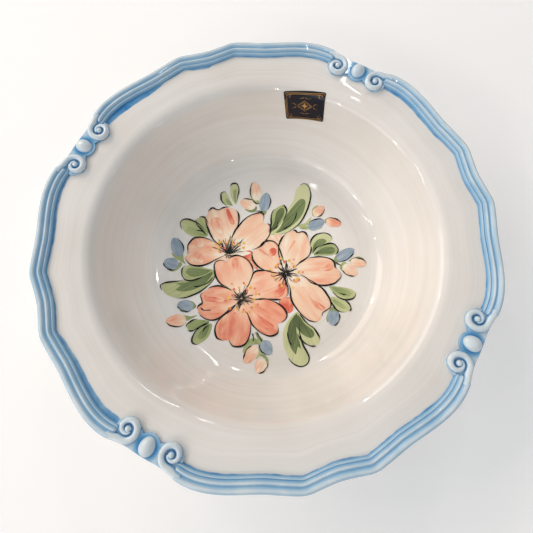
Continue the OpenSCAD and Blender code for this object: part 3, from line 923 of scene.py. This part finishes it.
# Underglaze green: yellow-green where it is thin, olive where the second stroke lies
green = new_finish("green_underglaze_brushed")
along, aside, which, tone = (
    add(green, "Attribute", attribute_name=name, out="Fac") for name in noted[:4])
own = add(green, "Math", {0: which, 1: 5.7}, operation="MULTIPLY")
stroke = add(green, "CombineXYZ", {"X": along, "Y": aside, "Z": own})
drawn = add(green, "Mapping", {"Vector": stroke, "Scale": (1.0, 4.0, 1.0)})
streaks = add(green, "TexNoise", {"Vector": drawn, "Scale": 1.8, "Detail": 3.0, "Roughness": 0.6})
deep = add(green, "Math", {0: streaks, 1: 0.7, 2: tone}, operation="MULTIPLY_ADD")
tipped = add(green, "Math", {0: along, 1: -0.22, 2: deep}, operation="MULTIPLY_ADD")
deep = add(green, "Math", {0: tipped, 1: 0.26}, operation="SUBTRACT")
wash = add(green, "ValToRGB", {"Fac": deep},
           stops=[(0.0, "#DADCAC"), (0.25, "#C6CB93"), (0.55, "#A0AD75"), (0.8, "#7C8B5C"),
                  (1.0, "#5C6843")])
finish_with(green, wash, Roughness=paint_gloss, IOR=1.5)
for piece in (leaf_piece, stroke_piece, cup_piece):
    finished(piece, green, "green_paint")


# ---- Painted bouquet: buds ----
# Closed buds round the edge of the bunch, egg-shaped dabs in grey-blue and in pale peach.

def bud(tone, x, y, length, width, turn):
    """An egg-shaped dab: its middle, size and the angle of its long way, from stem to tip."""
    ux, uy = cos(radians(turn)), sin(radians(turn))
    outline = []
    for k in range(10):
        a = radians(180 + 36 * k)
        p, q = cos(a) * length / 2, sin(a) * width / 2 * (1 - 0.16 * cos(a))
        outline.append((x + p * ux - q * uy, y + p * uy + q * ux))
    return tone, outline


blue_buds = [
    bud(0.4, -37.6, 65.8, 12, 9.6, 100), bud(0.5, -23.6, 68.8, 16.4, 9.4, 50),
    bud(0.4, -61, 38.2, 12.6, 8.8, 108), bud(0.35, 43.6, 24.4, 16.4, 8.6, 18),
    bud(0.55, 45.8, -21.8, 14.4, 8.4, -38), bud(0.5, 34.2, -53.2, 16.2, 8.4, -30),
    bud(0.5, -15.8, -66.8, 11.4, 9.0, 200), bud(0.5, -59.4, -32.2, 11.6, 9.0, -120),
]
peach_buds = [
    bud(0.45, -74, 38.2, 14.4, 9.4, 122), bud(0.4, -69.4, -24.2, 15.2, 8.8, 172),
    bud(0.3, -73.2, -34.6, 10.8, 8.8, 180), bud(0.25, 35.2, 36, 13.6, 9.0, 96),
    bud(0.3, 48.2, 35.8, 16.6, 8.6, 36), bud(0.5, 57, -18.2, 11.6, 7.6, -20),
    bud(0.6, 53.6, -33.2, 12.4, 7.2, -76), bud(0.3, 24.2, -62, 13.2, 8.6, -94),
    bud(0.35, 32.6, -65.2, 12.4, 7.4, -72),
]
blue_piece = daubs("painted_blue_buds", blue_buds, layer=bud_layer)
peach_piece = daubs("painted_peach_buds", peach_buds, layer=bud_layer)
finished(peach_piece, coral, "coral_paint")

# Underglaze blue let down with water: grey, and paler where the brush lifted off
dusk = new_finish("grey_blue_underglaze_brushed")
along, aside, which = (
    add(dusk, "Attribute", attribute_name=name, out="Fac") for name in noted[:3])
stroke = add(dusk, "CombineXYZ", {"X": along, "Y": aside, "Z": which})
clouds = add(dusk, "TexNoise", {"Vector": stroke, "Scale": 1.7, "Detail": 2.0})
wash = add(dusk, "ValToRGB", {"Fac": clouds},
           stops=[(0.25, "#8299AC"), (0.5, "#9DADBB"), (0.75, "#BAC1CA")])
finish_with(dusk, wash, Roughness=paint_gloss, IOR=1.5)
finished(blue_piece, dusk, "blue_paint")


# ---- Painted bouquet: ink lines ----
# A loose outline in black, put on last with a thin brush: it breaks off, runs beside the
# colour rather than on its edge, and swells where the brush leaned. Thin lines make the
# stamens.

chance = random.Random(11)
petal_line, leaf_line, bud_line = 1.1, 1.0, 0.8
flatness, ink_lift, stamen_lift = 0.1, 0.47, 0.5


def brushed_line(points, width, start=0.35, end=0.1):
    """A line's points as (x, y, height, radius), thin where it starts and ends."""
    line = curve_through(points, 5)
    swell, phase = 0.35, chance.uniform(0, 6)
    path = []
    for k, (x, y) in enumerate(line):
        t = k / (len(line) - 1)
        r = mix(start, 1, eased(part(t, 0, 0.18))) * mix(1, end, eased(part(t, 0.72, 1)))
        r *= 1 + swell * sin(phase + 9 * t)
        path.append((x, y, floor_at(hypot(x, y)), width / 2 * r))
    return path


def outline_lines(outline, stretches, width, out=0.25):
    """Brushed lines along stretches of a shape's outline, each from one share of the way
    round to another."""
    line = curve_through(outline, 8, closed=True)
    n = len(line)
    mx, my = sum(p[0] for p in line) / n, sum(p[1] for p in line) / n
    lines = []
    for start, end in stretches:
        points = []
        for k in range(int(start * n), int(end * n) + 1, 4):
            x, y = line[k % n]
            away = hypot(x - mx, y - my)
            push = 1 + (out + chance.uniform(-0.2, 0.2)) / away
            points.append((mx + (x - mx) * push, my + (y - my) * push))
        if len(points) > 2:
            lines.append(brushed_line(points, width))
    return lines


ink = []
broken = [[(0.06, 0.44), (0.5, 0.93)], [(0.04, 0.36), (0.4, 0.7), (0.74, 0.96)],
          [(0.08, 0.5), (0.56, 0.9)]]
for k, (_, outline) in enumerate(top_petals + low_petals + left_petals):
    ink += outline_lines(outline, broken[k % 3], petal_line)
for k, (_, outline) in enumerate(leaves):
    stretches = [[(0.04, 0.4), (0.5, 0.8)], [(0.12, 0.62)], [(0.36, 0.93)]][k % 3]
    ink += outline_lines(outline, stretches, leaf_line, 0.45)
for k, (_, outline) in enumerate(blue_buds + peach_buds):
    ink += outline_lines(outline, [(0.12, 0.42)] if k % 2 else [(0.55, 0.9)], bud_line, 0.1)
veins = [
    [(-45, 40), (-42, 35.6), (-36.6, 31.8), (-30.6, 30.6)], [(-72, 16), (-69, 16.4), (-64.6, 14.4)],
    [(29, 0.4), (35, -3), (42, -4.2), (49, -2.4)], [(-49, -48), (-46, -44), (-41.6, -40.6)],
    [(-4.6, 62), (-3, 59), (-3, 54.6)], [(3.8, -62), (4.4, -66), (5.4, -68)],
    [(24, -30), (28, -30.4), (31.6, -33)], [(23, -31.6), (25.4, -34)],
    [(33, 7.2), (29, 5.6), (24, 8)], [(-54.6, 19), (-57.4, 24), (-56.6, 27.4)],
    [(33, 27), (34.4, 24.4), (35, 22)], [(39.4, 33.6), (39, 30), (40.6, 27.6)],
    [(24.4, -49), (24.2, -52), (24.4, -54)], [(-55, -17.6), (-58, -20.4), (-60.4, -21)],
    [(-52.6, -20), (-55.4, -24.4), (-57.2, -27.4)],
]
ink += [brushed_line(points, bud_line) for points in veins]


def stamens(heart, angles, near, far, count, bend):
    """Thin lines out of a blossom's heart, spread over some angles."""
    lines = []
    for k in range(count):
        a = radians(mix(*angles, (k + chance.uniform(0.2, 0.8)) / count))
        length, turn = chance.uniform(near, far), chance.uniform(-bend, bend)
        start = chance.uniform(0.2, 1.8)
        points = [(heart[0] + d * cos(a + turn * d / length),
                   heart[1] + d * sin(a + turn * d / length))
                  for d in (start, length * 0.55, length)]
        lines.append(brushed_line(points, chance.uniform(0.36, 0.62), start=1.0, end=0.2))
    return lines


# The top blossom's stamens start behind its petals' heart, and fan out to one side
tuft = (-9.6, 28.8)
stamen_lines = stamens(left_heart, (-10, 350), 4.5, 10.5, 34, 0.25)
stamen_lines += stamens(tuft, (-42, 86), 7, 18.5, 28, 0.3)
stamen_lines += stamens(tuft, (100, 300), 1.5, 4, 8, 0.2)
stamen_lines += stamens(low_heart, (-20, 340), 4.5, 11.5, 34, 0.25)


def flattened(piece, lift):
    """Presses round rods down to low ribbons on the bowl's floor."""
    for vertex in piece.data.vertices:
        ground = floor_at(hypot(vertex.co.x, vertex.co.y) / MM) * MM
        vertex.co.z = ground + lift * MM + (vertex.co.z - ground) * flatness
    return piece


ink_piece = flattened(rods("painted_ink_outlines", ink, 2), ink_lift)
stamen_piece = flattened(rods("painted_stamens", stamen_lines, 1), stamen_lift)

# Underglaze black, thinned: a warm grey-green black that fires to the same gloss
black = mottled("black_underglaze_line", 5, 3.0, [(0.4, "#0E0F0C"), (0.75, "#33342C")],
                Roughness=paint_gloss, IOR=1.5)
finished(ink_piece, black, "ink_paint")
finished(stamen_piece, black, "ink_paint")


# ---- Painted bouquet: pollen ----
# Dots of yellow and of dark coral in a loose ring round each heart, from the brush's tip.

def dots(heart, angles, near, far, count):
    """Small dabs spread round a heart over some angles."""
    made = []
    for k in range(count):
        a = radians(mix(*angles, (k + chance.uniform(0.1, 0.9)) / count))
        d, size = chance.uniform(near, far), chance.uniform(1.3, 2.6)
        made.append(bud(1.0, heart[0] + d * cos(a), heart[1] + d * sin(a), size,
                        size * chance.uniform(0.7, 1.0), chance.uniform(0, 180)))
    return made


yellow_dots = dots(left_heart, (-20, 340), 8.5, 13.5, 13)
yellow_dots += dots(tuft, (-40, 110), 8, 15.5, 15) + dots(low_heart, (-20, 340), 8, 13.5, 14)
red_dots = dots(left_heart, (-10, 350), 7.5, 14, 14)
red_dots += dots(tuft, (-30, 100), 6, 15, 7) + dots(low_heart, (-10, 350), 7, 13.5, 12)
red_piece = daubs("painted_red_dots", red_dots, layer=dot_layer)
yellow_piece = daubs("painted_yellow_dots", yellow_dots, layer=dot_layer)
finished(red_piece, coral, "coral_paint")

# Underglaze yellow, thick and soft-edged
pollen = mottled("yellow_underglaze_dab", 3, 2.0, [(0.35, "#EDB548"), (0.65, "#F4CC6A")],
                 Roughness=paint_gloss, IOR=1.5)
finished(yellow_piece, pollen, "yellow_paint")
bpy.data.objects.remove(daub)


# ---- Paper label ----
# A glossy navy sticker, printed with a gold frame and a plain ornament, and stuck on the
# wall under the lip, where it follows the curve.

label_a, label_l, label_low, label_high, label_t = 12.8, 29.5, 46.6, 67.2, 0.3
askew, wall_r, wall_step = radians(9.4), 110.0, 0.5
wall_path = evened(path, wall_step)
wall = [(p, n) for p, n in zip(wall_path, normals_of(wall_path)) if p.x > 95 and p.y < 69.8]
label_h = sum((b[0] - a[0]).length for a, b in zip(wall, wall[1:])
              if label_low < a[0].y and b[0].y < label_high) + wall_step


def stick_to_wall(piece):
    """Bends a flat piece, drawn about the origin with its face up, on to the bowl's wall."""
    rows, gone = [], 0.0
    for k, (p, n) in enumerate(wall):
        if k:
            gone += (p - wall[k - 1][0]).length
        rows.append((gone, p, n))
    bottom = next(g for g, p, _ in rows if p.y > label_low)
    for vertex in piece.data.vertices:
        x, y, up = vertex.co / MM
        u, v = x * cos(askew) - y * sin(askew), x * sin(askew) + y * cos(askew)
        at = bottom + label_h / 2 + v
        k = min(max(int(at / rows[-1][0] * (len(rows) - 1)), 0), len(rows) - 2)
        while k < len(rows) - 2 and rows[k + 1][0] < at:
            k += 1
        t = part(at, rows[k][0], rows[k + 1][0])
        p = rows[k][1].lerp(rows[k + 1][1], t) + rows[k][2].lerp(rows[k + 1][2], t) * up
        a = radians(label_a) - u / wall_r
        vertex.co = (p.x * MM * cos(a), p.x * MM * sin(a), p.y * MM)
    return piece


def rounded_box(half_w, half_h, corner, steps=6):
    """The points of a box with rounded corners, anticlockwise from its lower right one."""
    points = []
    for k, (sx, sy) in enumerate([(1, -1), (1, 1), (-1, 1), (-1, -1)]):
        for j in range(steps + 1):
            a = radians(-90 + 90 * k + 90 * j / steps)
            points.append((sx * (half_w - corner) + corner * cos(a),
                           sy * (half_h - corner) + corner * sin(a)))
    return points


pick()
bpy.ops.mesh.primitive_grid_add(x_subdivisions=48, y_subdivisions=34, size=1)
label = bpy.context.object
label.name = label.data.name = "navy_paper_label"
corner_r = 1.2
for vertex in label.data.vertices:
    u, v = vertex.co.x * label_l, vertex.co.y * label_h
    over_u = abs(u) - (label_l / 2 - corner_r)
    over_v = abs(v) - (label_h / 2 - corner_r)
    if over_u > 0 and over_v > 0:
        pull = max(over_u, over_v) / max(hypot(over_u, over_v), 0.001)
        u = (abs(u) - over_u + over_u * pull) * (1 if u > 0 else -1)
        v = (abs(v) - over_v + over_v * pull) * (1 if v > 0 else -1)
    vertex.co = (u * MM, v * MM, 0.02 * MM)
edit(label)
bpy.ops.mesh.extrude_region_move(TRANSFORM_OT_translate={"value": (0, 0, (label_t - 0.04) * MM)})
bpy.ops.object.mode_set(mode="OBJECT")
close_up(label, 50)
stick_to_wall(label)

# A double frame, a curl and a bar in each corner, two lozenges round a star, and swashes
gold_lines = []
for inset, width in ((1.0, 0.32), (1.9, 0.2)):
    ring = rounded_box(label_l / 2 - inset, label_h / 2 - inset, 1.0)
    gold_lines.append([(x, y, 0, width / 2) for x, y in ring + ring[:2]])
for sx in (-1, 1):
    for sy in (-1, 1):
        cx, cy = sx * (label_l / 2 - 3.4), sy * (label_h / 2 - 3.4)
        gold_lines.append([(cx + sx * 1.1 * cos(a), cy + sy * 1.1 * sin(a), 0, 0.13)
                           for a in [radians(12 * k) for k in range(24)]])
        gold_lines.append([(cx - sx * d, cy + sy * 1.1, 0, mix(0.14, 0.05, d / 3.2))
                           for d in (0.0, 0.8, 1.6, 2.4, 3.2)])
for wide, high in ((5.6, 4.4), (4.5, 3.4)):
    corners_at = [(wide, 0), (0, high), (-wide, 0), (0, -high), (wide, 0)]
    gold_lines.append([(x, y, 0, 0.14) for x, y in corners_at])
for k in range(8):
    a, long = radians(45 * k), 1.5 if k % 2 else 2.6
    gold_lines.append([(d * long * cos(a), d * long * sin(a), 0, 0.42 * sin(pi * d) + 0.03)
                       for d in [j / 8 for j in range(9)]])
for side in (-1, 1):
    for up in (-1, 1):
        gold_lines.append([(side * (6.4 + 4.6 * t), up * (0.5 + 1.6 * sin(pi * t)), 0,
                            mix(0.2, 0.05, t)) for t in [j / 12 for j in range(13)]])
        gold_lines.append([(side * (0.4 + 5.2 * t), up * (6.6 - 0.7 * sin(pi * t)), 0,
                            mix(0.2, 0.04, t)) for t in [j / 12 for j in range(13)]])
gold = rods("gold_label_print", gold_lines, 1)
for vertex in gold.data.vertices:
    vertex.co.z = label_t * MM - 0.03 * MM + vertex.co.z * 0.12
stick_to_wall(gold)

# Coated paper: a near-black navy with a soft sheen
navy = mottled("navy_coated_paper", 1.2, 3.0, [(0.3, "#0E121C"), (0.7, "#171D2C")],
               relief=(0.4, 0.02), Roughness=0.3, IOR=1.4)
finished(label, navy, "label_paper", "paper_label")

# Bronze printing ink: a flat gold, without the mirror of real metal leaf
bronze = mottled("gold_printing_ink", 0.5, 2.0, [(0.35, "#C08A48"), (0.65, "#E8B56A")],
                 Roughness=0.45, Metallic=0.5)
finished(gold, bronze, "label_paper")


# ---- Studio ----
# A plain white light table under wide soft windows to two sides, one lamp aimed at the
# bowl's floor, and strips and small spots overhead that glint in the glaze.

pick()
bpy.ops.mesh.primitive_plane_add(size=6)
table = bpy.context.object
table.name = "studio_floor"
acrylic = new_finish("white_light_table_acrylic")
finish_with(acrylic, linear("#F6F6F6"), Roughness=0.9, Emission_Color=linear("#FFFFFF"),
            Emission_Strength=0.16)
table.data.materials.append(acrylic)

world = bpy.data.worlds.new("studio")
bpy.context.scene.world = world
world.use_nodes = True
world.node_tree.nodes["Background"].inputs["Color"].default_value = linear("#EFF4FB")
world.node_tree.nodes["Background"].inputs["Strength"].default_value = 0.33


def lamp(name, kind, place, power, colour="#FFFFFF", target=(0, 0, 0.05), **settings):
    """A lamp of some watts, aimed at its target. Places and sizes are metres."""
    bpy.ops.object.light_add(type=kind, location=place)
    made = bpy.context.object
    made.name = made.data.name = name
    made.rotation_euler = (Vector(target) - Vector(place)).to_track_quat("-Z", "Y").to_euler()
    made.data.energy, made.data.color = power, linear(colour)[:3]
    for setting, value in settings.items():
        setattr(made.data, setting, value)


for name, place, size, power, colour in (
        ("warm_window", (0.60, 2.60, 1.55), (2.6, 1.6), 42.0, "#FFEEDD"),
        ("cool_window", (-2.50, 0.84, 1.40), (2.6, 1.5), 23.5, "#F6F4F2"),
        ("ceiling_strip", (0.95, 0.20, 0.90), (0.02, 0.9), 1.1, "#FFFFFF"),
        ("ceiling_strip_far", (-0.55, 0.90, 0.90), (0.02, 0.7), 0.8, "#FFFFFF")):
    lamp(name, "AREA", place, power, colour, shape="RECTANGLE", size=size[0], size_y=size[1])
lamp("table_lamp", "SPOT", (0.75, -0.45, 1.0), 15.0, target=(-0.022, 0.02, 0.012),
     spot_size=radians(7.8), spot_blend=1.0, shadow_soft_size=0.03)
# The spots stand in a wide ring, fainter where the room goes back from the windows
for k in range(10):
    a, out = radians(20 + 30 * k), (1.05, 1.25, 1.15)[k % 3]
    lamp(f"ceiling_spot_{k}", "AREA", (out * cos(a), out * sin(a), 0.9), 0.75 if k < 7 else 0.3,
         "#FFF8EE", shape="RECTANGLE", size=0.034, size_y=0.034)

camera_data = bpy.data.cameras.new("camera")
camera = bpy.data.objects.new("camera", camera_data)
bpy.context.scene.collection.objects.link(camera)
camera.location = (-0.0613, -0.0392, 0.3006)
camera.rotation_euler = (radians(13.20), radians(1.04), radians(-61.78))
camera_data.lens, camera_data.sensor_width = 25.33, 36
camera_data.clip_start = 0.01
bpy.context.scene.camera = camera
bpy.context.scene.view_settings.view_transform = "Standard"
